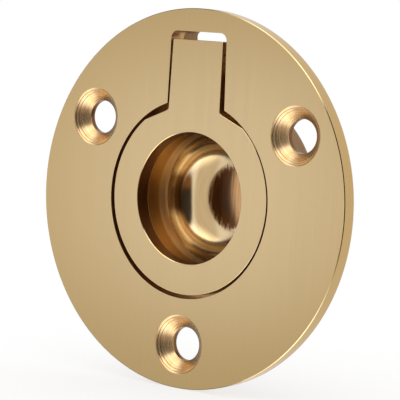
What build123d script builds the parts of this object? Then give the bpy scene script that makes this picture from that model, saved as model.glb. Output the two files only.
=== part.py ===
# Flush ring pull: a round brass plate with a finger cup, and a flat ring hinged in a keyhole recess.
# Millimetres. X points right and Z up, seen from the front. Y points into the door.
# The origin is the centre of the plate's back face, so the plate's face looks along -Y.
import os
from math import cos, radians, sin, tan

from build123d import *

os.makedirs("parts", exist_ok=True)

# Plate
plate_diameter = 50.0
plate_thickness = 2.4
face_edge_break = 0.17  # the front rim, only just broken
back_edge_chamfer = 0.6

# Wood screws
screw_hole_diameter = 4.4
countersink_diameter = 7.7
countersink_angle = 90.0
screw_count = 3
screw_edge_distance = 5.75  # from the rim to a hole's centre
lowest_screw_angle = 270.0

# Ring
ring_thickness = 2.5
ring_hole_diameter = 17.3
ring_offset = 0.18  # the ring lies this far right of the plate's centre, as fitted
ring_lift = 0.13  # and this far above it
ring_gap = 0.39  # between the ring and its recess, all round
ring_edge_break = 0.12  # front edges of the ring and its tab
finger_edge_chamfer = 0.4  # back edge of the ring's hole, where the finger hooks it
root_flat_depth = 0.56  # the ring's edge is filed flat this deep on both sides of the tab's root
root_flat_angle = 22.5  # each flat is square to this direction, measured from straight up

# Recess and finger cup
recess_diameter = 26.2
recess_clearance = 0.1  # behind the ring
cup_lip = 0.4  # the cup is this much wider than the ring's hole, in radius
cup_depth = 10.5  # from the plate's face to the cup's floor
cup_corner_radius = 5.2
cup_mouth_chamfer = 0.25

# Drum behind the plate, cast round the recess and the cup
drum_wall = 1.5
drum_floor = 1.6
drum_draft = 4.0
drum_back_chamfer = 2.5
drum_root_flare = 0.6

# Tab of the ring
tab_root_width = 8.8
tab_end_width = 8.25
tab_root_round = 0.5
tab_corner_round = 0.2
tab_end_gap = 1.1  # between the tab's end and the slot's

# Slot for the tab
slot_width = 9.15
slot_offset = 0.25  # the slot's centreline lies this far right of the plate's centre, as cast
slot_mouth_flare = 0.33  # the slot's right wall leans out by this on its way to the recess
slot_edge_distance = 3.05  # from the rim to the slot's end
slot_corner_radius = 1.0
slot_mouth_round = 0.4  # the two corners where the slot opens into the recess

# Hinge block behind the plate, on both sides of the slot and below it
block_wall = 2.6
block_end_wall = 1.25
block_depth = 5.7  # from the plate's face to the block's back
block_end_step = 0.3  # its end stands this far off the plate, then rounds over
block_edge_round = 1.0

# Hinge pin, laid in notches from the back and staked there
pin_diameter = 1.4
pin_end_distance = 2.25  # from the tab's end to the pin's axis
pin_running_clearance = 0.05  # in radius, in the tab's bore
pin_seat_clearance = 0.01  # in radius, in the notches
pin_seat_length = 2.0
pin_end_clearance = 0.15
pin_chamfer = 0.15
stake_width = 1.15  # the notch is squeezed to this width behind the pin
stake_length = 0.8
notch_width = 1.6
stop_angle = 101.0  # the ring opens this far, until its tab meets the end of the recess floor

# Places worked out from these sizes
plate_radius = plate_diameter / 2
recess_radius = recess_diameter / 2
ring_radius = recess_radius - ring_gap
ring_diameter = 2 * ring_radius
root_flat_distance = ring_radius - root_flat_depth
ring_hole_radius = ring_hole_diameter / 2
cup_radius = ring_hole_radius + cup_lip
recess_depth = ring_thickness + recess_clearance
drum_depth = cup_depth + drum_floor
drum_root_radius = recess_radius + drum_wall
drum_back_radius = drum_root_radius - (drum_depth - plate_thickness) * tan(radians(drum_draft))
screw_circle_radius = plate_radius - screw_edge_distance
slot_end = plate_radius - slot_edge_distance
tab_end = slot_end - tab_end_gap
pin_height = tab_end - pin_end_distance
pin_depth = ring_thickness / 2
pin_radius = pin_diameter / 2
pin_length = slot_width + 2 * pin_seat_length
pin_axis = pin_depth - plate_thickness
stake_reach = pin_radius + stake_length
block_end = slot_end + block_end_wall
block_width = slot_width + 2 * block_wall
block_end_round = block_depth - plate_thickness - block_end_step

# The recess floor ends this far below the pin, where the swung-back corner of the tab's end comes to rest
tab_behind_pin = ring_thickness - pin_depth
stop_drop = tab_behind_pin * sin(radians(stop_angle)) - pin_end_distance * cos(radians(stop_angle))
floor_end = pin_height - stop_drop

slot_left = slot_offset - slot_width / 2
slot_right = slot_offset + slot_width / 2

TOUCHING = 0.001  # edges and radii this close count as the same


def at_depth(depth):
    """The plane this far behind the plate's face, facing the front."""
    return Plane.XZ.offset(plate_thickness - depth)


def behind_face(depth):
    """The Y of a depth behind the plate's face."""
    return depth - plate_thickness


def nearest_corner(sketch, x, y):
    """The sketch's corner at a point."""
    return sketch.vertices().sort_by_distance((x, y))[0]


def slot_corners(start):
    """The slot's corners from this height up to its end, with the right wall leaning out."""
    flare = slot_mouth_flare * (slot_end - start) / (slot_end - recess_radius)
    return [(slot_left, start), (slot_left, slot_end), (slot_right, slot_end), (slot_right + flare, start)]


def round_edges(piece, radius):
    """The piece's round edges of this radius, from the front to the back."""
    circles = piece.edges().filter_by(GeomType.CIRCLE)
    return circles.filter_by(lambda edge: abs(edge.radius - radius) < TOUCHING).sort_by(Axis.Y)


# Backplate: one casting, turned in the cup and on the rim
with BuildPart() as backplate:
    # Hinge block behind the plate, its far end rounded down
    with BuildSketch(Plane.YZ.offset(slot_offset)) as block_profile:
        with Locations((-plate_thickness / 2, 0)):
            Rectangle(block_depth - plate_thickness / 2, block_end, align=Align.MIN)
        fillet(nearest_corner(block_profile, behind_face(block_depth), block_end), block_end_round)
    extrude(amount=block_width / 2, both=True)
    side_edges = backplate.faces().filter_by(Axis.X).edges()
    side_edges = side_edges.filter_by(lambda edge: edge.center().Y > -plate_thickness / 2 + TOUCHING)
    fillet(side_edges.filter_by(lambda edge: edge.center().Z > TOUCHING), block_edge_round)

    # Plate and drum
    with BuildSketch(Plane.XY) as casting_profile:
        with BuildLine():
            Polyline(
                (0, behind_face(0)),
                (plate_radius, behind_face(0)),
                (plate_radius, 0),
                (drum_root_radius, 0),
                (drum_back_radius, behind_face(drum_depth)),
                (0, behind_face(drum_depth)),
                close=True,
            )
        make_face()
        chamfer(nearest_corner(casting_profile, plate_radius, behind_face(0)), face_edge_break)
        chamfer(nearest_corner(casting_profile, plate_radius, 0), back_edge_chamfer)
        chamfer(nearest_corner(casting_profile, drum_root_radius, 0), drum_root_flare)
        chamfer(nearest_corner(casting_profile, drum_back_radius, behind_face(drum_depth)), drum_back_chamfer)
    revolve(axis=Axis.Y)

    # Keyhole recess for the ring and its tab
    with BuildSketch(at_depth(0)) as keyhole:
        Circle(recess_radius)
        with BuildLine():
            Polyline(*slot_corners(0), close=True)
        make_face()
        fillet(keyhole.vertices().sort_by(Axis.Y)[:2], slot_mouth_round)
        fillet(keyhole.vertices().sort_by(Axis.Y)[-2:], slot_corner_radius)
    extrude(amount=-recess_depth, mode=Mode.SUBTRACT)

    # Finger cup in the recess floor
    with BuildSketch(Plane.XY) as cup_profile:
        with BuildLine():
            Polyline(
                (0, behind_face(recess_depth)),
                (cup_radius, behind_face(recess_depth)),
                (cup_radius, behind_face(cup_depth)),
                (0, behind_face(cup_depth)),
                close=True,
            )
        make_face()
        fillet(nearest_corner(cup_profile, cup_radius, behind_face(cup_depth)), cup_corner_radius)
    revolve(axis=Axis.Y, mode=Mode.SUBTRACT)
    chamfer(round_edges(backplate, cup_radius)[0], cup_mouth_chamfer)

    # Beyond the recess floor the slot is open right through, for the tab's end to swing into
    with BuildSketch(at_depth(0)) as opening:
        with BuildLine():
            Polyline(*slot_corners(floor_end), close=True)
        make_face()
        fillet(opening.vertices().sort_by(Axis.Y)[-2:], slot_corner_radius)
    extrude(amount=-block_depth, mode=Mode.SUBTRACT)

    # Notches for the pin, from the block's back, squeezed together behind it
    with BuildSketch(Plane.YZ.offset(slot_offset)):
        with Locations((pin_axis, pin_height)):
            Circle(pin_radius + pin_seat_clearance)
            Rectangle(stake_reach, stake_width, align=(Align.MIN, Align.CENTER))
        with Locations((pin_axis + stake_reach, pin_height)):
            Rectangle(block_depth, notch_width, align=(Align.MIN, Align.CENTER))
    extrude(amount=pin_length / 2 + pin_end_clearance, both=True, mode=Mode.SUBTRACT)

    # Countersunk screw holes
    with Locations(at_depth(0)):
        with PolarLocations(screw_circle_radius, screw_count, start_angle=lowest_screw_angle):
            CounterSinkHole(
                screw_hole_diameter / 2,
                countersink_diameter / 2,
                depth=plate_thickness,
                counter_sink_angle=countersink_angle,
            )
backplate.part.label = "backplate"
export_step(backplate.part, "parts/backplate.step")


# Ring and its tab: one flat casting
with BuildPart() as ring_handle:
    with BuildSketch(at_depth(0)) as ring_outline:
        with Locations((ring_offset, ring_lift)):
            Circle(ring_radius)
            for turn in (90 - root_flat_angle, 90 + root_flat_angle):
                with PolarLocations(root_flat_distance, 1, turn):
                    Rectangle(ring_radius, ring_diameter, align=(Align.MIN, Align.CENTER), mode=Mode.SUBTRACT)
        with BuildLine():
            Polyline(
                (ring_offset - tab_root_width / 2, ring_lift),
                (ring_offset - tab_end_width / 2, tab_end),
                (ring_offset + tab_end_width / 2, tab_end),
                (ring_offset + tab_root_width / 2, ring_lift),
                close=True,
            )
        make_face()
        fillet(ring_outline.vertices().sort_by(Axis.Y)[-4:-2], tab_root_round)
        fillet(ring_outline.vertices().sort_by(Axis.Y)[-2:], tab_corner_round)
    extrude(amount=-ring_thickness)
    chamfer(ring_handle.faces().sort_by(Axis.Y)[0].edges(), ring_edge_break)

    # Finger hole
    with BuildSketch(at_depth(0)):
        with Locations((ring_offset, ring_lift)):
            Circle(ring_hole_radius)
    extrude(amount=-ring_thickness, mode=Mode.SUBTRACT)
    chamfer(round_edges(ring_handle, ring_hole_radius)[0], ring_edge_break)
    chamfer(round_edges(ring_handle, ring_hole_radius)[-1], finger_edge_chamfer)

    # Bore for the pin
    with BuildSketch(Plane.YZ.offset(ring_offset)):
        with Locations((pin_axis, pin_height)):
            Circle(pin_radius + pin_running_clearance)
    extrude(amount=tab_root_width, both=True, mode=Mode.SUBTRACT)
ring_handle.part.label = "ring_handle"
export_step(ring_handle.part, "parts/ring_handle.step")


# Hinge pin
with BuildPart() as hinge_pin:
    with BuildSketch(Plane.YZ.offset(slot_offset)):
        with Locations((pin_axis, pin_height)):
            Circle(pin_radius)
    extrude(amount=pin_length / 2, both=True)
    chamfer(hinge_pin.edges().filter_by(GeomType.CIRCLE), pin_chamfer)
hinge_pin.part.label = "hinge_pin"
export_step(hinge_pin.part, "parts/hinge_pin.step")
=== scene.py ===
# %% [markdown]
# # Flush ring pull in satin brass
# A round plate is let into a door or a drawer front. A finger goes into its cup, hooks the flat
# ring and swings it out on a pin. This lesson dresses the measured solids: each part is modelled
# again in fine meshes at the same sizes, gets the finish its maker gave it, and rides on the body
# that moves it.

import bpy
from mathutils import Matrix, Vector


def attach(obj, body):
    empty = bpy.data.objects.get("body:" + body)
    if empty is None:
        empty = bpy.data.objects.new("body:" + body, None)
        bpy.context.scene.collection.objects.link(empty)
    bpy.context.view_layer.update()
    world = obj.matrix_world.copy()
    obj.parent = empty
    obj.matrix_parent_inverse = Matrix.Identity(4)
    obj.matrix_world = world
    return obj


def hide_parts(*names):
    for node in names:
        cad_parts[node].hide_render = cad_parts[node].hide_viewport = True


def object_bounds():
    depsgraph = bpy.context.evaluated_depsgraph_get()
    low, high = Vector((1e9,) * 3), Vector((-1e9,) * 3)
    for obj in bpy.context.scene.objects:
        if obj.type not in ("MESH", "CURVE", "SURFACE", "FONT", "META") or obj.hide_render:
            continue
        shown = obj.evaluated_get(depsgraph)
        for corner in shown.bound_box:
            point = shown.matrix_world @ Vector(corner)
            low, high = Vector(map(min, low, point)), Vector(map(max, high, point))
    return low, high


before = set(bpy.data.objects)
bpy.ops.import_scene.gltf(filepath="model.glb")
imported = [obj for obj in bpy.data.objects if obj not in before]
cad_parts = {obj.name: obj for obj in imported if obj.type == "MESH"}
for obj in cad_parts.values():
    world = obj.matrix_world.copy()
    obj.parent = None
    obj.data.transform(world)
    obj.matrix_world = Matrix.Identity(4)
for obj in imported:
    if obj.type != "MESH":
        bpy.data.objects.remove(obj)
solid_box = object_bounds()
print("solid box in mm:", [[round(1000 * value, 2) for value in corner] for corner in solid_box])

# %% [markdown]
# ## Units and the main depths
# Blender works in metres, and a lesson about a 50 mm plate reads better in millimetres, so sizes
# are written in millimetres and turned to metres where a mesh is made. X points right and Z up,
# seen from the front, and Y points into the door. Depth zero is the plate's back face.

# %% Units, depths and tolerances
from math import cos, hypot, pi, radians, sin

import bmesh
import bpy
from mathutils import Matrix, Vector

MM = 0.001
FRONT = -2.4  # the plate's face
IN_FRONT = FRONT - 1  # where a cutter starts, well clear of the face
NEAR = 1e-7  # in metres: points nearer than this are one point
CORNER = 0.5  # in radians: an edge that turns by more is a corner of the shape
TURNS = 256  # steps in a full turn, so that a rim shows no flats
print("plate thickness:", -FRONT, "mm")

# %% [markdown]
# ## Helpers for meshes
# A turned shape is a closed outline of radius and depth, swept round the axis of a lathe. Its
# corners are rounded while it is still a flat outline, which keeps every round even.

# %% Turn a shape
def turned(corners, centre=(0, 0)):
    """A solid turned about an axis along Y; a corner is radius, depth, round and its segments."""
    bm = bmesh.new()
    points = [bm.verts.new((corner[0] * MM, corner[1] * MM, 0)) for corner in corners]
    bm.faces.new(points)
    for point, corner in zip(points, corners):
        if len(corner) > 2:
            bmesh.ops.bevel(bm, geom=[point], offset=corner[2] * MM, segments=corner[3],
                            affect="VERTICES", profile=0.5, material=-1)
    bmesh.ops.delete(bm, geom=bm.faces[:], context="FACES_ONLY")
    on_axis = [edge for edge in bm.edges if all(abs(end.co.x) < NEAR for end in edge.verts)]
    bmesh.ops.delete(bm, geom=on_axis, context="EDGES")
    bmesh.ops.spin(bm, geom=bm.verts[:] + bm.edges[:], cent=(0, 0, 0), axis=(0, 1, 0),
                   dvec=(0, 0, 0), angle=2 * pi, space=Matrix.Identity(4), steps=TURNS,
                   use_merge=True, use_normal_flip=False, use_duplicate=False)
    bmesh.ops.remove_doubles(bm, verts=bm.verts[:], dist=NEAR)
    bmesh.ops.recalc_face_normals(bm, faces=bm.faces[:])
    bmesh.ops.translate(bm, verts=bm.verts[:], vec=(centre[0] * MM, 0, centre[1] * MM))
    return bm


# %% [markdown]
# Milled shapes start as boxes. A finished bmesh becomes an object only when a modifier has to work
# on it or when it is shown.

# %% Box and object
def block(low, high):
    """A box between two corners."""
    bm = bmesh.new()
    bmesh.ops.create_cube(bm, size=1)
    size = [(top - bottom) * MM for bottom, top in zip(low, high)]
    middle = [(top + bottom) / 2 * MM for bottom, top in zip(low, high)]
    bmesh.ops.scale(bm, verts=bm.verts[:], vec=size)
    bmesh.ops.translate(bm, verts=bm.verts[:], vec=middle)
    return bm


def solid(bm, name):
    """An object made of a finished bmesh."""
    mesh = bpy.data.meshes.new(name)
    bm.to_mesh(mesh)
    bm.free()
    made = bpy.data.objects.new(name, mesh)
    bpy.context.scene.collection.objects.link(made)
    return made


# %% [markdown]
# Cuts and joins are Boolean modifiers, as a workshop would mill one shape out of another: the
# modifier is set on one object, points at the other, and the mesh that it makes is read back.
# Points that it leaves a hair apart are merged before the next cut. Edges are rounded by bevels.

# %% Cut or join, round, and count what is open
def joined(start, *steps):
    """The start shape after each cut or join in turn, cleaned between them."""
    for operation, tool in steps:
        base, other = solid(start, "blank"), solid(tool, "tool")
        change = base.modifiers.new(operation, "BOOLEAN")
        change.operation = operation
        change.object = other
        change.solver = "EXACT"
        bpy.context.view_layer.update()
        seen = base.evaluated_get(bpy.context.evaluated_depsgraph_get())
        result = bpy.data.meshes.new_from_object(seen)
        start = bmesh.new()
        start.from_mesh(result)
        for helper in (base, other):
            bpy.data.objects.remove(helper)
        bpy.data.meshes.remove(result)
        bmesh.ops.remove_doubles(start, verts=start.verts[:], dist=2 * NEAR)
        bmesh.ops.dissolve_degenerate(start, edges=start.edges[:], dist=NEAR)
    return start


def rounded(bm, edges, size, segments):
    """These edges rounded, or broken by one flat where there is one segment."""
    bmesh.ops.bevel(bm, geom=edges, offset=size * MM, segments=segments, affect="EDGES",
                    profile=0.5, material=-1, clamp_overlap=True)


def open_edges(bm):
    """How many edges don't lie between two faces; a closed shape has none."""
    return sum(not edge.is_manifold for edge in bm.edges)


# %% [markdown]
# ## The casting
# The plate is one brass casting: a disc with a drum behind it for the cup, and a block for the
# hinge. It could be built as separate rings, but then no wall would have the true thickness, so
# it is made as the foundry and the lathe do: a solid blank first, then the cuts. The front edge
# is broken by a flat of a tenth of a millimetre, which catches the light as one thin line.

# %% Blank: disc and drum
PLATE_RADIUS = 25.0
DRUM_BACK = 9.7
DRUM_RADII = (14.6, 14.096, 11.422)  # at its foot, at its shoulder and at its back
DRUM_SHOULDER = DRUM_BACK - 2.494
FRONT_BREAK = 0.09
CAST_ROUND, DRUM_ROUND = 0.6, 0.8
blank = turned([
    (0, FRONT),
    (PLATE_RADIUS, FRONT, FRONT_BREAK, 1),
    (PLATE_RADIUS, 0, CAST_ROUND, 6),
    (DRUM_RADII[0], 0, CAST_ROUND, 5),
    (DRUM_RADII[1], DRUM_SHOULDER, DRUM_ROUND, 5),
    (DRUM_RADII[2], DRUM_BACK, DRUM_ROUND, 5),
    (0, DRUM_BACK),
])
print("blank:", len(blank.faces), "faces")

# %% [markdown]
# The hinge block stands behind the slot and holds the pin. It is hidden in use, so it stays a plain
# lump with the large rounds of a sand casting: first its far end, then its two long sides.

# %% Hinge block
SLOT_CENTRE = 0.25  # the slot and all that belongs to it stand this much right of the middle
BLOCK_HALF_WIDTH = 7.175
BLOCK_BACK = 3.3
BLOCK_END = 23.2
BLOCK_END_ROUND, BLOCK_SIDE_ROUND = 3.0, 0.9
hinge_block = block((SLOT_CENTRE - BLOCK_HALF_WIDTH, FRONT / 2, 0),
                    (SLOT_CENTRE + BLOCK_HALF_WIDTH, BLOCK_BACK, BLOCK_END))
end_edges = [edge for edge in hinge_block.edges
             if all(end.co.y > 0 and end.co.z > MM for end in edge.verts)]
rounded(hinge_block, end_edges, BLOCK_END_ROUND, 10)


def runs_along_side(edge):
    """Whether an edge borders one of the block's two sides, and isn't inside the plate or drum."""
    first, second = (end.co for end in edge.verts)
    return (abs(first.x - second.x) < NEAR and edge.calc_face_angle(0) > CORNER
            and first.y + second.y > -2 * MM and first.z + second.z > MM)


side_edges = [edge for edge in hinge_block.edges if runs_along_side(edge)]
rounded(hinge_block, side_edges, BLOCK_SIDE_ROUND, 5)
print("hinge block:", len(hinge_block.faces), "faces")

# %% [markdown]
# ## The recess and the cup
# They are one turned cut: a shallow flat bore for the ring, and a deep one for the finger with a
# large round at its bottom. A lathe does it in one setting, so both share one axis.

# %% Cutter: recess and cup
RECESS_RADIUS, RECESS_FLOOR = 13.1, 0.2
CUP_RADIUS, CUP_FLOOR = 9.05, 8.1
CUP_LIP, CUP_CORNER = 0.15, 5.2
bowl = turned([
    (0, IN_FRONT),
    (RECESS_RADIUS, IN_FRONT),
    (RECESS_RADIUS, RECESS_FLOOR),
    (CUP_RADIUS, RECESS_FLOOR, CUP_LIP, 4),
    (CUP_RADIUS, CUP_FLOOR, CUP_CORNER, 32),
    (0, CUP_FLOOR),
])
print("bowl cutter:", len(bowl.faces), "faces")

# %% [markdown]
# ## The slot
# The slot for the ring's tab is a milled pocket with two rounded corners. Its right wall leans out
# a little on its way down to the recess. Beyond the pin the floor stops and the slot is open right
# through, so that the tab's end can swing back into it. The cutter is one box: the lower right
# edge is moved for the lean, and the part beyond the floor's end is pulled backwards.

# %% Cutter: slot
SLOT_WIDTH, SLOT_ROUND = 9.15, 1.0
SLOT_START, SLOT_END = 9.0, 21.95  # it starts well inside the recess
SLOT_FLOOR = 0.195  # two cutters never reach quite the same depth
SLOT_LEAN = 0.33 / (SLOT_END - RECESS_RADIUS)
FLOOR_END = 16.944  # where the floor stops
OPEN_DEPTH = 4.5  # how much further the open part goes, out through the hinge block
slot_left = SLOT_CENTRE - SLOT_WIDTH / 2
slot_right = SLOT_CENTRE + SLOT_WIDTH / 2
slot = block((slot_left, IN_FRONT, SLOT_START), (slot_right, SLOT_FLOOR, SLOT_END))
low_right = [corner for corner in slot.verts
             if corner.co.x > 0 and corner.co.z < SLOT_START * MM + 10 * NEAR]
bmesh.ops.translate(slot, verts=low_right, vec=(SLOT_LEAN * (SLOT_END - SLOT_START) * MM, 0, 0))
bmesh.ops.bisect_plane(slot, geom=slot.verts[:] + slot.edges[:] + slot.faces[:],
                       plane_co=(0, 0, FLOOR_END * MM), plane_no=(0, 0, 1))
behind = [face for face in slot.faces
          if face.normal.y > 0.9 and face.calc_center_median().z > FLOOR_END * MM]
pulled = bmesh.ops.extrude_face_region(slot, geom=behind)["geom"]
bmesh.ops.delete(slot, geom=behind, context="FACES_ONLY")
pulled_points = [part for part in pulled if isinstance(part, bmesh.types.BMVert)]
bmesh.ops.translate(slot, verts=pulled_points, vec=(0, OPEN_DEPTH * MM, 0))
print("slot cutter:", len(slot.faces), "faces before its corners are rounded")

# %% [markdown]
# A round mill leaves its own radius in the slot's two far corners. Each is two edges by now, one
# behind the other, because the open part was pulled out. They are found by where they stand.

# %% Round the slot's corners
FOUND_WITHIN = 0.05  # mm


def upright_edges(bm, places):
    """The edges along Y that stand at these places."""
    found = []
    for edge in bm.edges:
        first, second = (end.co for end in edge.verts)
        middle = (first + second) / 2 / MM
        along_y = hypot(first.x - second.x, first.z - second.z) < 10 * NEAR
        if along_y and any(hypot(middle.x - x, middle.z - z) < FOUND_WITHIN for x, z in places):
            found.append(edge)
    return found


slot_corners = upright_edges(slot, [(slot_left, SLOT_END), (slot_right, SLOT_END)])
rounded(slot, slot_corners, SLOT_ROUND, 8)
print("slot cutter:", len(slot.faces), "faces, edges rounded:", len(slot_corners))

# %% [markdown]
# ## The pin's notches
# The pin lies in two notches that are open to the back of the block. Behind the pin each one is
# squeezed to a neck, which is how such a pin is kept, and further out it is wide again. Each cutter
# is a hair shorter than the one before it, because a Boolean is unsure where two walls coincide.

# %% Cutters: seat, neck and entrance
PIN_AXIS = (-1.15, 18.6)  # depth and height
SEAT_RADIUS, SEAT_HALF = 0.71, 6.725
NECK_HALF, NECK_HALF_GAP, NECK_BACK = 6.71, 0.575, 1.6
ENTRANCE_HALF, ENTRANCE_HALF_GAP, ENTRANCE_FRONT, ENTRANCE_BACK = 6.7, 0.8, 1.5, 5.7


def laid_along_x(bm):
    """A shape turned about Y, laid along X at the pin's place."""
    quarter_turn = Matrix.Rotation(-pi / 2, 3, "Z")
    bmesh.ops.rotate(bm, verts=bm.verts[:], cent=(0, 0, 0), matrix=quarter_turn)
    bmesh.ops.translate(bm, verts=bm.verts[:],
                        vec=(SLOT_CENTRE * MM, PIN_AXIS[0] * MM, PIN_AXIS[1] * MM))
    return bm


def notch(half_length, half_gap, front, back):
    """A box along the pin, from one depth behind its axis to another."""
    depth, height = PIN_AXIS
    return block((SLOT_CENTRE - half_length, depth + front, height - half_gap),
                 (SLOT_CENTRE + half_length, depth + back, height + half_gap))


seat = laid_along_x(turned([(0, -SEAT_HALF), (SEAT_RADIUS, -SEAT_HALF),
                            (SEAT_RADIUS, SEAT_HALF), (0, SEAT_HALF)]))
neck = notch(NECK_HALF, NECK_HALF_GAP, 0, NECK_BACK)
entrance = notch(ENTRANCE_HALF, ENTRANCE_HALF_GAP, ENTRANCE_FRONT, ENTRANCE_BACK)
print("neck:", 2 * NECK_HALF_GAP, "mm for a seat of", 2 * SEAT_RADIUS, "mm")

# %% [markdown]
# ## Screw holes
# The three holes were countersunk one at a time, and the photograph shows that no two are alike:
# each cone has its own width. The mouth is broken by a flatter cone. Two fine steps stand for the
# rings that the cutter left: a smooth cone would shade as one soft band, and a step with square
# edges gives a line, as it does on the real one.

# %% Cutters: screw holes
SCREW_CIRCLE = 19.25
SCREW_TURNS = {"left": 150, "right": 30, "lower": 270}  # degrees
CONE_RADII = {"left": 3.84, "right": 3.82, "lower": 3.88}
HOLE_RADIUS = 2.2
HOLE_BACK = 1.0  # how far a drill passes the plate's back
MOUTH = ((0.32, -0.1), (-0.047, 0.047))  # radius past the cone's, and depth from the face
STEPS = ((0.20, 0.06), (0.50, 0.05))  # depth of each fine step, and its size
CONE_ROUND = (0.06, 3)
screw_places = {name: (SCREW_CIRCLE * cos(radians(turn)), SCREW_CIRCLE * sin(radians(turn)))
                for name, turn in SCREW_TURNS.items()}


def screw_hole(name):
    """The cutter for one countersunk hole."""
    top = CONE_RADII[name]
    (start_out, start_depth), (end_out, end_depth) = MOUTH
    corners = [(0, IN_FRONT), (top + start_out, IN_FRONT), (top + start_out, FRONT + start_depth),
               (top + end_out, FRONT + end_depth, *CONE_ROUND)]
    for depth, size in STEPS:
        corners += [(top - depth, FRONT + depth), (top - depth, FRONT + depth + size),
                    (top - depth - size, FRONT + depth + size)]
    corners += [(HOLE_RADIUS, FRONT + top - HOLE_RADIUS, *CONE_ROUND), (HOLE_RADIUS, HOLE_BACK),
                (0, HOLE_BACK)]
    return turned(corners, screw_places[name])


screw_holes = [screw_hole(name) for name in screw_places]
print("screw hole cutters:", [len(hole.faces) for hole in screw_holes], "faces")

# %% [markdown]
# ## Cut the casting
# Blank and block are joined, and the cutters follow in the order of a workshop: lathe, mill, drill.
# A closed result has no open edges, so their number tells at once whether a cut went wrong.

# %% Join and cut
casting = joined(blank, ("UNION", hinge_block), ("DIFFERENCE", bowl), ("DIFFERENCE", slot),
                 ("DIFFERENCE", seat), ("DIFFERENCE", neck), ("DIFFERENCE", entrance),
                 *[("DIFFERENCE", hole) for hole in screw_holes])
print("casting:", len(casting.faces), "faces, open edges:", open_edges(casting))

# %% [markdown]
# Where the slot runs out into the round recess, its two corners are rubbed round, so that the
# ring's root can pass. They are the only sharp edges along Y that stand at the recess's radius.

# %% Round the slot's mouth
MOUTH_ROUND = 0.4
MOUTH_HEIGHT = 2  # mm: the mouth's edges are longer than this


def at_mouth(edge):
    """Whether an edge is a corner between the slot's wall and the recess's."""
    first, second = (end.co for end in edge.verts)
    return (abs(first.y - second.y) > MOUTH_HEIGHT * MM and edge.calc_face_angle(0) > CORNER
            and abs(hypot(first.x, first.z) / MM - RECESS_RADIUS) < FOUND_WITHIN)


mouth = [edge for edge in casting.edges if at_mouth(edge)]
rounded(casting, mouth, MOUTH_ROUND, 5)
print("mouth edges:", len(mouth), "casting:", len(casting.faces), "faces")

# %% [markdown]
# ## The ring
# The ring and its tab are one flat casting. A disc and a tapered tab are joined first. They start
# thicker than the ring, and then both flat faces are cut to one level, so that no seam shows
# between them. Beside the tab's root the disc has two filed flats.

# %% Disc with its two flats
RING_CENTRE = ring_x, ring_z = 0.18, 0.13
RING_RADIUS, RING_BACK = 12.71, 0.1
FLAT_TURN, FLAT_DISTANCE = 22.5, 12.15  # degrees either side of the tab, and mm from the middle
DISC_BACK = RING_BACK + 1


def faced(bm, point, way):
    """Everything beyond the plane through this point cut off, and the cut closed."""
    cut = bmesh.ops.bisect_plane(bm, geom=bm.verts[:] + bm.edges[:] + bm.faces[:],
                                 plane_co=point, plane_no=way, clear_outer=True)
    rim = [part for part in cut["geom_cut"] if isinstance(part, bmesh.types.BMEdge)]
    bmesh.ops.edgeloop_fill(bm, edges=rim)
    bmesh.ops.recalc_face_normals(bm, faces=bm.faces[:])


disc = turned([(0, IN_FRONT), (RING_RADIUS, IN_FRONT), (RING_RADIUS, DISC_BACK), (0, DISC_BACK)],
              RING_CENTRE)
for turn in (-FLAT_TURN, FLAT_TURN):
    way = Vector((sin(radians(turn)), 0, cos(radians(turn))))
    faced(disc, Vector((ring_x, 0, ring_z)) * MM + way * FLAT_DISTANCE * MM, way)
print("disc:", len(disc.faces), "faces")

# %% [markdown]
# The tab gets a little narrower towards its end. A box is enough for it: its far corners are moved
# inwards, and the two edges there are rounded.

# %% Tab
TAB_END = 20.85
TAB_ROOT_HALF, TAB_END_HALF, TAB_ROUND = 4.4, 4.125, 0.2
TAB_SPARE = 0.5  # what is faced off its front and its back
tab = block((ring_x - TAB_ROOT_HALF, FRONT - TAB_SPARE, ring_z),
            (ring_x + TAB_ROOT_HALF, RING_BACK + TAB_SPARE, TAB_END))
for corner in tab.verts:
    if corner.co.z > ring_z * MM + 10 * NEAR:
        side = 1 if corner.co.x / MM > ring_x else -1
        corner.co.x = (ring_x + side * TAB_END_HALF) * MM
tab_corners = upright_edges(tab, [(ring_x - TAB_END_HALF, TAB_END),
                                  (ring_x + TAB_END_HALF, TAB_END)])
rounded(tab, tab_corners, TAB_ROUND, 4)
print("tab:", len(tab.faces), "faces, edges rounded:", len(tab_corners))

# %% [markdown]
# Joined, faced and bored, the ring is a single flat piece. A Boolean leaves needless points on flat
# faces, and dissolving what lies in one plane gives the later bevels clean edges to work on.

# %% Join, face and bore
RING_HOLE_RADIUS = 8.65
hole_front, hole_back = FRONT - 2, 2  # well past both flat faces
finger_hole = turned([(0, hole_front), (RING_HOLE_RADIUS, hole_front),
                      (RING_HOLE_RADIUS, hole_back), (0, hole_back)], RING_CENTRE)
ring = joined(disc, ("UNION", tab))
faced(ring, Vector((0, FRONT, 0)) * MM, Vector((0, -1, 0)))
faced(ring, Vector((0, RING_BACK, 0)) * MM, Vector((0, 1, 0)))
ring = joined(ring, ("DIFFERENCE", finger_hole))
bmesh.ops.dissolve_limit(ring, angle_limit=radians(0.05), verts=ring.verts[:], edges=ring.edges[:])
print("ring after joining:", len(ring.faces), "faces, open edges:", open_edges(ring))

# %% [markdown]
# A hand with fine abrasive cloth breaks the ring's edges: barely on the outside, more round the
# finger hole, and most at the hole's back, where the finger hooks in. Each set of edges lies in one
# plane, so it is found by depth and by distance from the ring's middle. The two inner corners at
# the tab's root are rounded first, because they run through both planes.

# %% Round the ring's edges
ROOT_ROUND = 0.3
BETWEEN_EDGES = 10  # mm: the finger hole's edges are nearer than this, and the outer ones further


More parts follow.
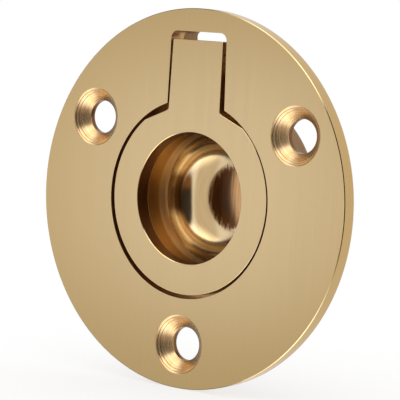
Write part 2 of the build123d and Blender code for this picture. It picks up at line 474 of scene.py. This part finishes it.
def outline_edges(bm, depth, outer):
    """The edges of the outer outline, or of the finger hole, in the plane at this depth."""
    found = []
    for edge in bm.edges:
        first, second = (end.co for end in edge.verts)
        in_plane = all(abs(end.y - depth * MM) <= NEAR for end in (first, second))
        middle = (first + second) / 2 / MM
        if (in_plane and edge.calc_face_angle(0) >= CORNER
                and (hypot(middle.x - ring_x, middle.z - ring_z) > BETWEEN_EDGES) == outer):
            found.append(edge)
    return found


root_edges = [edge for edge in ring.edges if edge.calc_face_angle_signed(0) < -CORNER
              and abs(edge.verts[0].co.y - edge.verts[1].co.y) > MM]
rounded(ring, root_edges, ROOT_ROUND, 5)
# Depth, whether they are the outer edges, the round's size in mm, and its segments
EDGE_ROUNDS = ((FRONT, False, 0.07, 1), (FRONT, True, 0.03, 1),
               (RING_BACK, False, 0.4, 5), (RING_BACK, True, 0.06, 2))
for depth, outer, size, segments in EDGE_ROUNDS:
    edges = outline_edges(ring, depth, outer)
    rounded(ring, edges, size, segments)
    print("outer" if outer else "inner", "edges at", depth, "mm:", len(edges))

# %% [markdown]
# ## The pin
# A short rod of drawn brass goes through the tab's bore, lies in the notches and is squeezed in
# from behind. Its two ends are rounded, so that it slips in. A turned outline is all it takes.

# %% Bore and pin
BORE_RADIUS, BORE_HALF = 0.75, 8
PIN_RADIUS, PIN_HALF, PIN_ROUND = 0.7, 13.15 / 2, 0.15
bore = laid_along_x(turned([(0, -BORE_HALF), (BORE_RADIUS, -BORE_HALF),
                            (BORE_RADIUS, BORE_HALF), (0, BORE_HALF)]))
ring = joined(ring, ("DIFFERENCE", bore))
pin = laid_along_x(turned([
    (0, -PIN_HALF),
    (PIN_RADIUS, -PIN_HALF, PIN_ROUND, 3),
    (PIN_RADIUS, PIN_HALF, PIN_ROUND, 3),
    (0, PIN_HALF),
]))
print("bored ring:", len(ring.faces), "faces, open edges:", open_edges(ring))

# %% [markdown]
# ## Shading
# Turned walls should look round, and milled faces flat. Smooth shading alone bends the light on a
# flat face near its edge, so an edge that turns by more than 30 degrees is marked sharp, and so is
# the border of each flat face that looks straight to the front or back. The Weighted Normal
# modifier lets the large faces decide the rest.

# %% Shade round walls smooth and flat faces flat
SHARP_TURN = radians(30)
STRAIGHT = 0.99999  # how far a normal points along Y on a flat front or back


def shaded(bm, name):
    """The finished object: flat faces keep their own shading, and round ones are smooth."""
    for face in bm.faces:
        face.smooth = True
    for edge in bm.edges:
        if len(edge.link_faces) == 2:
            flat = [abs(face.normal.y) > STRAIGHT for face in edge.link_faces]
            edge.smooth = edge.calc_face_angle(0) < SHARP_TURN and flat[0] == flat[1]
    made = solid(bm, name)
    weighted = made.modifiers.new("even_shading", "WEIGHTED_NORMAL")
    weighted.mode = "FACE_AREA"
    weighted.weight = 100
    weighted.keep_sharp = True
    return made


plate = shaded(casting, "plate_casting")
ring_pull = shaded(ring, "ring_pull")
hinge_pin = shaded(pin, "hinge_pin_rod")
print("made", plate.name, ring_pull.name, hinge_pin.name)

# %% [markdown]
# Each mesh stands in for one measured solid, which is hidden, and rides on the body that moves it.
# Nothing is placed by hand: the meshes are made where the solids are.

# %% Ride on the bodies
for made, body, node, slot_name in [(plate, "plate", "backplate", "satin_brass"),
                                    (ring_pull, "ring", "ring_handle", "ring_brass"),
                                    (hinge_pin, "plate", "hinge_pin", "pin_brass")]:
    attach(made, body)
    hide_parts(node)
    print(made.name, "rides on", body, "with", len(made.data.polygons), "faces")

# %% [markdown]
# ## Nodes
# Brass is one metal, yet this pull shows it with a dozen faces: what changes is the tool that
# touched it last. So one recipe is written once, and each finish only gives it other numbers.
# A colour is written as it looks on a screen and turned to the linear light that shaders use.

# %% Colour
SATIN, SATIN_DEEP = "#B5975E", "#AF9057"


def linear(hex_colour):
    """A shader colour from an sRGB hex value."""
    parts = [int(hex_colour[i:i + 2], 16) / 255 for i in (1, 3, 5)]
    return tuple(part / 12.92 if part <= 0.04045 else ((part + 0.055) / 1.055) ** 2.4
                 for part in parts) + (1.0,)


print(SATIN, "in linear light:", [round(part, 3) for part in linear(SATIN)])

# %% [markdown]
# One small function adds a node, sets it up and links its inputs. The three after it are short
# ways to write what comes back often: a sum, a soft step from one value to another, and a blend
# of two colours.

# %% Node, sum, soft step, blend
def add(tree, kind, inputs=(), **settings):
    """A node with its settings; an input is a value or another node's output."""
    node = tree.nodes.new(kind)
    for name, value in settings.items():
        setattr(node, name, value)
    for name, value in dict(inputs).items():
        if isinstance(value, bpy.types.NodeSocket):
            tree.links.new(value, node.inputs[name])
        else:
            node.inputs[name].default_value = value
    return node


def calc(tree, operation, *inputs):
    """One sum with its inputs in order."""
    return add(tree, "ShaderNodeMath", dict(enumerate(inputs)), operation=operation).outputs[0]


def edge_between(tree, value, start, end, low=0.0, high=1.0):
    """A soft step from low to high while the value goes from start to end."""
    return add(tree, "ShaderNodeMapRange",
               {"Value": value, "From Min": start, "From Max": end, "To Min": low, "To Max": high},
               interpolation_type="SMOOTHSTEP").outputs[0]


def blended(tree, factor, first, second):
    """A colour between two, by a factor."""
    return add(tree, "ShaderNodeMix", {"Factor": factor, "A": first, "B": second},
               data_type="RGBA").outputs["Result"]


# %% [markdown]
# ## Marks of the tool
# Metal that was rubbed in one direction spreads a highlight across its scratches. On the face the
# strokes run up and down, so the highlight is wide. In a turned cup or a countersink they run in
# circles, so the direction is worked out at each point: it is square to the line from the axis.
# The marks themselves are a noise that is stretched along the stroke. Around an axis it is read by
# radius and depth, and the angle is its fourth coordinate, so that it has no seam.

# %% Direction, distance and marks
PER_METRE = 1000  # a scale per millimetre, written per metre
AXIS = (0, 0)  # the lathe's axis, at the plate's middle


def round_about(tree, place, centre):
    """A turned surface's direction along its marks, distance from its axis, and depth, in mm."""
    local = add(tree, "ShaderNodeMapping",
                {"Vector": place, "Location": (-centre[0], 0, -centre[1]),
                 "Scale": (PER_METRE, PER_METRE, PER_METRE)}).outputs[0]
    along = add(tree, "ShaderNodeVectorMath", {0: (0, 1, 0), 1: local},
                operation="CROSS_PRODUCT").outputs[0]
    radius = add(tree, "ShaderNodeVectorMath", {0: along}, operation="LENGTH").outputs["Value"]
    depth = add(tree, "ShaderNodeSeparateXYZ", {"Vector": local}).outputs["Y"]
    return along, radius, depth


def marks_of_tool(tree, place, centre, marks):
    """The stroke's direction, the noise of its marks, and the depth; marks are scales per mm."""
    if centre is None:
        spot = add(tree, "ShaderNodeMapping",
                   {"Vector": place, "Scale": [PER_METRE * mark for mark in marks]}).outputs[0]
        along, turned_by, depth = (1, 0, 0), 0.0, None
    else:
        along, radius, depth = round_about(tree, place, centre)
        spot = add(tree, "ShaderNodeCombineXYZ", {"X": radius, "Y": depth}).outputs[0]
        spot = add(tree, "ShaderNodeVectorMath", {0: spot, 1: marks},
                   operation="MULTIPLY").outputs[0]
        unit = add(tree, "ShaderNodeSeparateXYZ", {"Vector": along}).outputs
        turned_by = calc(tree, "ARCTAN2", unit["X"], calc(tree, "ABSOLUTE", unit["Z"]))
    noise = add(tree, "ShaderNodeTexNoise",
                {"Vector": spot, "W": turned_by, "Scale": 1.0, "Detail": 3.0},
                noise_dimensions="4D").outputs["Fac"]
    return along, noise, depth


# %% [markdown]
# ## The recipe for brass
# The marks vary the colour a little and the roughness by a sixth. They raise the surface by less
# than a thousandth of a millimetre on the satin front, and by up to three hundredths on the rough
# back. A band of another colour can lie between two depths and within a half height. On the
# cup's outer wall it is dull brass where a polishing mop can't reach. At the cup's corner it is
# painted shade, a dark reflection painted into the colour. A soft step at each border lets it
# fade.

# %% Dull band and painted shade band
BAND_START, BAND_END, BAND_SIDE = 0.4, 0.3, 0.8  # mm: how softly the dull band and the painted shade band begin and end


def add_dull_and_shade_band(tree, place, depth, shade, colour, first, last, half_height):
    """The shade, with another colour between two depths and within a height either way."""
    up = add(tree, "ShaderNodeSeparateXYZ", {"Vector": place}).outputs["Z"]
    level = calc(tree, "ABSOLUTE", up)
    inside = calc(tree, "MULTIPLY",
                  edge_between(tree, depth, first - BAND_START, first + BAND_START),
                  edge_between(tree, depth, last + BAND_END, last - BAND_END))
    inside = calc(tree, "MULTIPLY", inside,
                  edge_between(tree, level, (half_height + BAND_SIDE) * MM,
                               (half_height - BAND_SIDE) * MM))
    return blended(tree, inside, shade, linear(colour))


# %% [markdown]
# One surface is a Principled shader with the marks on three of its sockets: colour, roughness and
# normal. The tangent lies along the strokes, and anisotropy spreads the highlight across them. A
# thin clear coat stands for the lacquer that keeps such brass from going brown.

# %% One surface of brass
UNEVEN = 0.15  # the share by which marks vary the roughness
QUARTER_TURN = 0.25  # lays the wide highlight across turned marks


def surface(tree, place, clean, deep, roughness, anisotropic=0.0, centre=None, marks=(4, 4, 4),
            mark_height=0.002, coat=1.0, coat_roughness=0.2, dull_and_shade_band=None):
    """Brass brushed upright, or turned about a centre; sizes in mm, marks per mm."""
    along, streaks, depth = marks_of_tool(tree, place, centre, marks)
    tangent = add(tree, "ShaderNodeVectorTransform", {"Vector": along}, vector_type="VECTOR",
                  convert_from="OBJECT", convert_to="WORLD").outputs[0]
    shade = blended(tree, streaks, linear(deep), linear(clean))
    if dull_and_shade_band:
        shade = add_dull_and_shade_band(tree, place, depth, shade, *dull_and_shade_band)
    matt = add(tree, "ShaderNodeMapRange",
               {"Value": streaks, "To Min": roughness * (1 - UNEVEN),
                "To Max": roughness * (1 + UNEVEN)}).outputs[0]
    raised = add(tree, "ShaderNodeBump", {"Height": streaks, "Strength": 1.0,
                 "Distance": mark_height * MM}).outputs[0]
    return add(tree, "ShaderNodeBsdfPrincipled", {
        "Base Color": shade, "Metallic": 1.0, "Roughness": matt, "Normal": raised,
        "Anisotropic": anisotropic,
        "Anisotropic Rotation": 0.0 if centre is None else QUARTER_TURN,
        "Tangent": tangent, "Coat Weight": coat, "Coat Roughness": coat_roughness,
        "Coat IOR": 1.5}).outputs["BSDF"]


# %% [markdown]
# A material is one such surface, or two where a scraper left a patch: then a Mix Shader shows the
# inner surface within a radius. The border is ragged, because the scraper's strokes end at
# different heights, so a noise of upright hairs moves it in and out.

# %% One material
HAIRS = (2600, 1000, 250)  # per metre: upright hairs 0.4 mm wide, the finest that show
HAIR_RANGE = (0.3, 0.7)  # the part of the noise that most of its values lie in
HAIR_EDGE = 0.25  # mm


def brass(name, *look, patch=None):
    """A material with one surface, or with a ragged patch of another inside a radius."""
    material = bpy.data.materials.new(name)
    material.use_nodes = True
    tree = material.node_tree
    tree.nodes.clear()
    place = add(tree, "ShaderNodeTexCoord").outputs["Object"]
    shown = surface(tree, place, *look)
    if patch:
        inner, patch_radius, raggedness = patch
        distance = round_about(tree, place, AXIS)[1]
        hairs = add(tree, "ShaderNodeMapping", {"Vector": place, "Scale": HAIRS}).outputs[0]
        hairs = add(tree, "ShaderNodeTexNoise", {"Vector": hairs, "Scale": 1.0}).outputs["Fac"]
        limit = add(tree, "ShaderNodeMapRange",
                    {"Value": hairs, "From Min": HAIR_RANGE[0], "From Max": HAIR_RANGE[1],
                     "To Min": patch_radius - raggedness, "To Max": patch_radius}).outputs[0]
        within = edge_between(tree, calc(tree, "SUBTRACT", limit, distance), 0.0, HAIR_EDGE)
        shown = add(tree, "ShaderNodeMixShader",
                    {0: within, 1: shown, 2: surface(tree, place, *inner)}).outputs[0]
    add(tree, "ShaderNodeOutputMaterial", {"Surface": shown})
    print(name, "has", len(tree.nodes), "nodes")
    return material


# %% [markdown]
# ## The finishes
# Cast brass with about a third of zinc is a pale, greenish gold. The front is rubbed with fine
# abrasive in upright strokes: a soft, wide sheen with faint streaks. Real strokes are a few
# hundredths of a millimetre wide, too fine to show here, so they are drawn about half a
# millimetre wide and 20 long. The broken edges are burnished and flash as a thin line, and the
# turned rim is a little smoother than the front. Each look lists its light and deep colour,
# roughness, anisotropy, axis, marks per mm, their height in mm, coat and coat roughness.

# %% Satin front, bright edges and turned rim
satin = brass("satin_brushed_brass", SATIN, SATIN_DEEP, 0.3, 0.5, None, (2.2, 1, 0.05), 0.0006)
edge_brass = brass("burnished_edge_brass", "#D2BC8E", "#C8AE7C", 0.12, 0.0, None, (4, 4, 4),
                   0.0, 0.3)
rim_brass = brass("turned_rim_brass", "#C4A468", "#BC9A60", 0.25, 0.5, AXIS, (5, 5, 1),
                  0.002, 0.3)

# %% [markdown]
# The cup is turned and then polished on a mop, so its corner mirrors the room. Its straight wall
# keeps the rings of the boring tool, and light that bounces there several times turns golden
# brown. The mop misses the outer part of the wall, which stays dull. A short band where the round
# corner begins is painted darker at the cup's mid height: painted shade for the dark reflection
# there. The flat of the bottom was only scraped, up and down, and shows ragged upright hairs. Its
# patch is also painted darker, as painted shade at the bottom of the cup. The hairs are too fine
# to show, so they are drawn a third of a millimetre wide.

# %% Cup: bored wall, polished corner with painted shade, scraped floor with painted shade
WALL_END = 4.4  # the depth at which the cup's straight wall turns into its round corner
PATCH_RADIUS, RAGGEDNESS = 5.0, 1.3
POLISHED, POLISHED_DEEP = "#EFD8B0", "#D8BA8C"
# The last entry paints a darker band at the corner's mid height: painted shade.
cup_look = (POLISHED, POLISHED_DEEP, 0.13, 0.5, AXIS, (4, 4, 1), 0.001, 0.5, 0.2,
            ("#806038", WALL_END, 6.3, 2.7))
# The scraper's hairs and roughness are real. The patch's dark colours are painted shade at the
# bottom of the cup.
scraped_and_shaded_look = ("#AC8050", "#7A5630", 0.14, 0.0, None, (3, 1, 0.15), 0.006, 0.25, 0.3)
cup_brass = brass("polished_cup_brass", *cup_look)
floor_brass = brass("scraped_and_shaded_cup_floor", *cup_look, patch=(scraped_and_shaded_look, PATCH_RADIUS, RAGGEDNESS))
wall_brass = brass("bored_cup_wall", "#FFFBE6", "#C0905A", 0.34, 0.0, AXIS, (3, 2.2, 1),
                   0.004, 0.3, 0.2, ("#C4A068", -0.5, 2.9, 20))

# %% [markdown]
# Walls that only a cutter touched are duller than the front. A drilled wall is smooth, and its
# brown colour is painted shade inside the holes; a milled one is lighter and rougher. The back is
# left as it came from the sand, matt brown with a grain of half a millimetre. The countersinks show
# the rings of a chattering cutter, each about a quarter of a millimetre wide, and their long
# highlight fans out from the middle.

# %% Walls, back and countersinks
drilled_and_shaded_brass = brass("drilled_wall_painted_shade_brass", "#7A532B", "#6A4724", 0.3, 0.0, None, (3, 3, 3),
                      0.002, 0.2)
milled_brass = brass("milled_wall_brass", "#D8AC70", "#A87C48", 0.4, 0.0, None, (3, 3, 3),
                     0.004, 0.3)
cast_brass = brass("sand_cast_brass", "#A07C50", "#745634", 0.5, 0.0, None, (2, 2, 2), 0.03, 0.1)
sink_brass = {name: brass("countersink_" + name, "#FCE0B0", "#A0703C", 0.27, 0.7, middle,
                          (4, 4, 1), 0.018, 0.1)
              for name, middle in screw_places.items()}

# %% [markdown]
# ## Which face gets which finish
# A workshop finishes a place, not an object, and so does this step: each face of the mesh is asked
# where it lies and which way it looks, and gets the finish of the tool that reached it. Radii are
# taken a little wider than the cuts, so that each broken edge goes with its cut.

# %% Ask a face of the plate
SINK_REACH, FLOOR_REACH, MILLED_REACH = 3.93, 5.1, 23
EDGE_BAND = 0.7  # the rim and both its rounds
SKIN = 0.05  # depth behind the plate's back from which a face belongs to drum or block
# Limits for the share of a normal that lies along Y: more than this on a flat face and on one that
# is nearly flat, less than this on a wall, and more than this on a cone and on a broken edge
FLAT, NEARLY_FLAT, WALL, CONE, BROKEN = 0.999, 0.99, 0.5, 0.1, 0.05


def plate_finish(centre, normal):
    """The finish of one face of the plate, by its middle in mm and its direction."""
    from_middle = hypot(centre.x, centre.z)
    for name, (x, z) in screw_places.items():
        if hypot(centre.x - x, centre.z - z) < SINK_REACH and abs(normal.y) < FLAT:
            # A screw hole's wall below its cone takes the drilled finish, whose brown is painted
            # shade.
            return name if abs(normal.y) > CONE else "drilled"
    if centre.y > RECESS_FLOOR - 0.01 and from_middle < CUP_RADIUS + 0.2 and normal.y < WALL:
        return "floor" if from_middle < FLOOR_REACH else "wall" if centre.y < WALL_END else "cup"
    if from_middle > PLATE_RADIUS - EDGE_BAND and abs(normal.y) < NEARLY_FLAT:
        return "edge" if normal.y < -BROKEN else "rim"
    if normal.y > NEARLY_FLAT and abs(centre.y) < 0.01:
        return "rim"
    if centre.y > SKIN and from_middle > RECESS_RADIUS - 0.1:
        return "cast"
    if from_middle < MILLED_REACH and (abs(normal.y) < WALL or centre.y > SKIN):
        return "milled"
    return "satin"


# %% [markdown]
# An object holds its materials in numbered slots, and each face keeps the number of its slot.
# Counting the faces of each finish shows at once when a place was asked for wrongly.

# %% Finishes on the plate
finishes = {"satin": satin, "cup": cup_brass, "cast": cast_brass, "rim": rim_brass, **sink_brass,
            "floor": floor_brass, "drilled": drilled_and_shaded_brass, "edge": edge_brass,
            "milled": milled_brass, "wall": wall_brass}
order = list(finishes)
counts = dict.fromkeys(order, 0)
for finish in finishes.values():
    plate.data.materials.append(finish)
for face in plate.data.polygons:
    kind = plate_finish(face.center / MM, face.normal)
    counts[kind] += 1
    face.material_index = order.index(kind)
print("plate faces by finish:", counts)

# %% [markdown]
# The ring has the plate's satin front and back, milled outer sides, a drilled finger hole whose
# brown is painted shade, and burnished edges. The pin is a plain drawn rod that only shows from
# behind.

# %% Finishes on the ring and the pin
FRONT_SLOT, OUTER_SLOT, HOLE_SLOT, EDGE_SLOT = range(4)
for finish in (satin, milled_brass, drilled_and_shaded_brass, edge_brass):
    ring_pull.data.materials.append(finish)
for face in ring_pull.data.polygons:
    from_middle = hypot(face.center.x / MM - ring_x, face.center.z / MM - ring_z)
    if abs(face.normal.y) < BROKEN:
        face.material_index = OUTER_SLOT if from_middle > BETWEEN_EDGES else HOLE_SLOT
    else:
        face.material_index = EDGE_SLOT if abs(face.normal.y) < NEARLY_FLAT else FRONT_SLOT
hinge_pin.data.materials.append(satin)
print("ring finishes:", [material.name for material in ring_pull.data.materials])

# %% [markdown]
# ## Camera
# The ellipses of the rim, the recess and the holes in the photograph gave the camera's place: 38
# degrees to the right of square on, a little above, and slightly rolled. A long lens from under
# 0.3 m gives the same mild perspective.

# %% Camera at the photograph's angle
AZIMUTH, ELEVATION, ROLL = radians(37.978), radians(4.571), radians(3.599)
LENS = 194.76
TO_RIGHT, UPWARDS, DISTANCE = 1.690, -0.083, 283.574
back = Vector((sin(AZIMUTH) * cos(ELEVATION), -cos(AZIMUTH) * cos(ELEVATION), sin(ELEVATION)))
level_right = Vector((cos(AZIMUTH), sin(AZIMUTH), 0))
level_up = back.cross(level_right)
right = cos(ROLL) * level_right + sin(ROLL) * level_up
up = -sin(ROLL) * level_right + cos(ROLL) * level_up
camera_data = bpy.data.cameras.new("camera")
camera_data.lens = LENS
camera_data.sensor_width = 36
camera_data.clip_start = 0.01
camera = bpy.data.objects.new("camera", camera_data)
camera_place = Vector((0, FRONT * MM, 0)) + (TO_RIGHT * right + UPWARDS * up + DISTANCE * back) * MM
camera_turn = Matrix((right, up, back)).transposed()
camera.matrix_world = Matrix.Translation(camera_place) @ camera_turn.to_4x4()
bpy.context.scene.collection.objects.link(camera)
bpy.context.scene.camera = camera
print("camera at", [round(value, 3) for value in camera_place], "m")

# %% [markdown]
# ## Floor
# The pull stands on a light table, as small goods are photographed for a catalogue. The paper
# glows a little by itself, which keeps the ground white, and the rest of it still takes the
# shadow. Metal doesn't mirror it, because the tent below already gives the metal its ground.

# %% Light table
WHITE = linear("#FFFFFF")
GLOW, GLOW_SHARE = 1.02, 0.65
floor_mesh = bmesh.new()
bmesh.ops.create_grid(floor_mesh, x_segments=1, y_segments=1, size=3)
bmesh.ops.translate(floor_mesh, verts=floor_mesh.verts[:], vec=(0, 0, solid_box[0].z))
floor = solid(floor_mesh, "floor")
floor_material = bpy.data.materials.new("white_paper")
floor_material.use_nodes = True
tree = floor_material.node_tree
tree.nodes.clear()
paper = add(tree, "ShaderNodeBsdfDiffuse", {"Color": WHITE}).outputs[0]
glow = add(tree, "ShaderNodeEmission", {"Color": WHITE, "Strength": GLOW}).outputs[0]
table = add(tree, "ShaderNodeMixShader", {0: GLOW_SHARE, 1: paper, 2: glow}).outputs[0]
add(tree, "ShaderNodeOutputMaterial", {"Surface": table})
floor.data.materials.append(floor_material)
floor.visible_glossy = False
print("floor at", round(solid_box[0].z / MM, 2), "mm")

# %% [markdown]
# ## Light tent
# Polished brass shows its surroundings, so the surroundings are what gives it its look. Here they
# are a white tent with an opening for the camera. That opening is the dark spot in the cup, the
# brown sector of each countersink and the dark part of the edge's bright line. The tent is drawn
# in the world by direction: turn is the angle to the side, slope the angle up.

# %% Directions in the tent
world = bpy.data.worlds.new("light_tent")
world.use_nodes = True
tree = world.node_tree
tree.nodes.clear()
looking = add(tree, "ShaderNodeTexCoord").outputs["Generated"]
parts = add(tree, "ShaderNodeSeparateXYZ", {"Vector": looking}).outputs
front_way = calc(tree, "MULTIPLY", parts["Y"], -1.0)
turn = calc(tree, "ARCTAN2", parts["X"], front_way)
slope = calc(tree, "ARCSINE", parts["Z"])


def angle_from(middle, angle):
    """How far an angle is from a middle given in degrees, either way."""
    return calc(tree, "ABSOLUTE", calc(tree, "SUBTRACT", angle, radians(middle)))


print("tent directions:", len(tree.nodes), "nodes")

# %% [markdown]
# The opening is an ellipse of directions with a soft edge. Through it one sees the dark room, and
# below it the brown of the table's front, which warms the lower half of the dark spot.

# %% The camera's opening
OPENING_TURN, OPENING_HALF_WIDTH = 47, 17  # degrees
OPENING_SLOPE, OPENING_HALF_HEIGHT = 6, 39
OPENING_EDGE = (1.15, 0.85)  # in shares of the ellipse's radius
ROOM, TABLE_FRONT = "#38322E", "#7C5830"
TABLE_EDGE = (radians(-16), radians(-6))
across = calc(tree, "DIVIDE", angle_from(OPENING_TURN, turn), radians(OPENING_HALF_WIDTH))
upward = calc(tree, "DIVIDE", angle_from(OPENING_SLOPE, slope), radians(OPENING_HALF_HEIGHT))
from_opening = calc(tree, "SQRT", calc(tree, "ADD", calc(tree, "MULTIPLY", across, across),
                                       calc(tree, "MULTIPLY", upward, upward)))
opening = edge_between(tree, from_opening, *OPENING_EDGE)
above = edge_between(tree, slope, *TABLE_EDGE)
behind_camera = blended(tree, above, linear(TABLE_FRONT), linear(ROOM))
print("tent and opening:", len(tree.nodes), "nodes")

# %% [markdown]
# The cloth isn't evenly lit either. Straight ahead it is a little darker and warm, the left side
# behind the object is in shade, and two lights above and below the front give the white lines.

# %% Cloth of the tent
LIGHTS, LIGHT_LEVEL = (radians(30), radians(62)), 1.8  # they begin there, and are full there
AHEAD, AHEAD_DROP = (radians(28), radians(18)), 0.3  # how much darker the cloth is there
SHADE_TURN, SHADE, SHADE_LEVEL = -100, (radians(44), radians(34)), 0.25
WARM = (1.0, 0.93, 0.78, 1)
on_front = edge_between(tree, front_way, 0.0, 0.3)
high_light = edge_between(tree, angle_from(0, slope), *LIGHTS, 0.0, LIGHT_LEVEL)
ahead = edge_between(tree, angle_from(0, turn), *AHEAD)
shaded_side = edge_between(tree, angle_from(SHADE_TURN, turn), *SHADE, 1.0, SHADE_LEVEL)
evenly = calc(tree, "SUBTRACT", 1.0, calc(tree, "MULTIPLY", ahead, AHEAD_DROP))
level = calc(tree, "MULTIPLY", evenly, shaded_side)
level = calc(tree, "ADD", calc(tree, "MULTIPLY", high_light, on_front), level)
warm = blended(tree, ahead, WHITE, WARM)
cloth = add(tree, "ShaderNodeVectorMath", {0: warm, "Scale": level}, operation="SCALE").outputs[0]
tent = blended(tree, opening, cloth, behind_camera)
print("whole tent:", len(tree.nodes), "nodes")

# %% [markdown]
# Only what shines sees the tent. The camera and all dull surfaces see plain white at a strength of
# one, so the background is white and the light on the object is level from every side.

# %% World and view
path = add(tree, "ShaderNodeLightPath").outputs
seen = blended(tree, path["Is Glossy Ray"], WHITE, tent)
light = add(tree, "ShaderNodeBackground", {"Color": seen, "Strength": 1.0})
add(tree, "ShaderNodeOutputWorld", {"Surface": light.outputs[0]})
bpy.context.scene.world = world
bpy.context.scene.view_settings.view_transform = "Standard"
print("world has", len(tree.nodes), "nodes")

# %% [markdown]
# ## One soft lamp
# The face in the photograph is lighter round the ring than at the plate's left. A tent alone
# can't do that, so one small soft lamp stands where the face mirrors it into the camera. Its light
# is a little blue, because it would otherwise turn the brass too yellow.

# %% Soft lamp
LAMP_SIZE, LAMP_DISTANCE = 0.066, 0.22  # metres
LAMP_ENERGY, LAMP_COLOUR = 0.0148, (0.78, 0.94, 1.38)  # watts, and the share of each colour
lamp_data = bpy.data.lights.new("soft_lamp", "AREA")
lamp_data.shape = "DISK"
lamp_data.size = LAMP_SIZE
lamp_data.energy = LAMP_ENERGY
lamp_data.color = LAMP_COLOUR
lamp = bpy.data.objects.new("soft_lamp", lamp_data)
lit = Vector((8, FRONT, 6)) * MM  # the place on the face that it lights most
way = Vector((-0.607, -0.79, -0.09)).normalized()
lamp.location = lit + LAMP_DISTANCE * way
lamp.rotation_mode = "QUATERNION"
lamp.rotation_quaternion = way.to_track_quat("Z", "Y")
bpy.context.scene.collection.objects.link(lamp)
print("lamp at", [round(value, 3) for value in lamp.location], "m")
